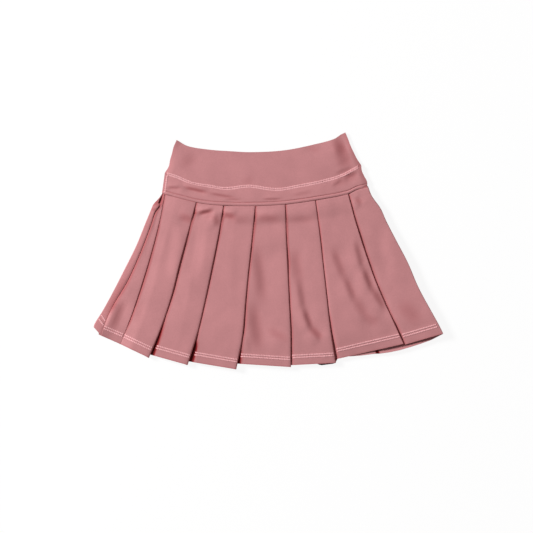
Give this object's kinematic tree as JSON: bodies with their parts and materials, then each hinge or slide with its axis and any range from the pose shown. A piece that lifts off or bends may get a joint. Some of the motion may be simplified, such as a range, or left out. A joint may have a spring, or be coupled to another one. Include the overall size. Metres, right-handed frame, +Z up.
{
  "type": "skort",
  "caption": "Knife-pleated knit tennis skort laid flat with its front up: shaped waistband with a seam across it, flared pleated skirt and plain inner shorts between the layers.",
  "frame": {"origin": "bottom centre of the bounding box, on the surface that the garment lies on", "axes": "+X to the viewer's right across the skirt, +Y from the hem towards the waist, +Z up out of the front face"},
  "size_m": [0.6362, 0.4306, 0.0118],
  "materials": {
    "band_knit": "smooth dusty-rose jersey with a soft sheen",
    "skirt_knit": "smooth dusty-rose jersey with a soft sheen, stitched hem",
    "shorts_knit": "matt stretch knit",
    "thread": "light pink sewing thread with a slight shine"
  },
  "bodies": {
    "root": {"upper_band_front": "band_knit", "upper_band_back": "band_knit", "lower_band_front": "band_knit", "lower_band_back": "band_knit", "front_skirt": "skirt_knit", "back_skirt": "skirt_knit", "shorts_leg_left": "shorts_knit", "shorts_leg_right": "shorts_knit"}
  },
  "joints": []
}
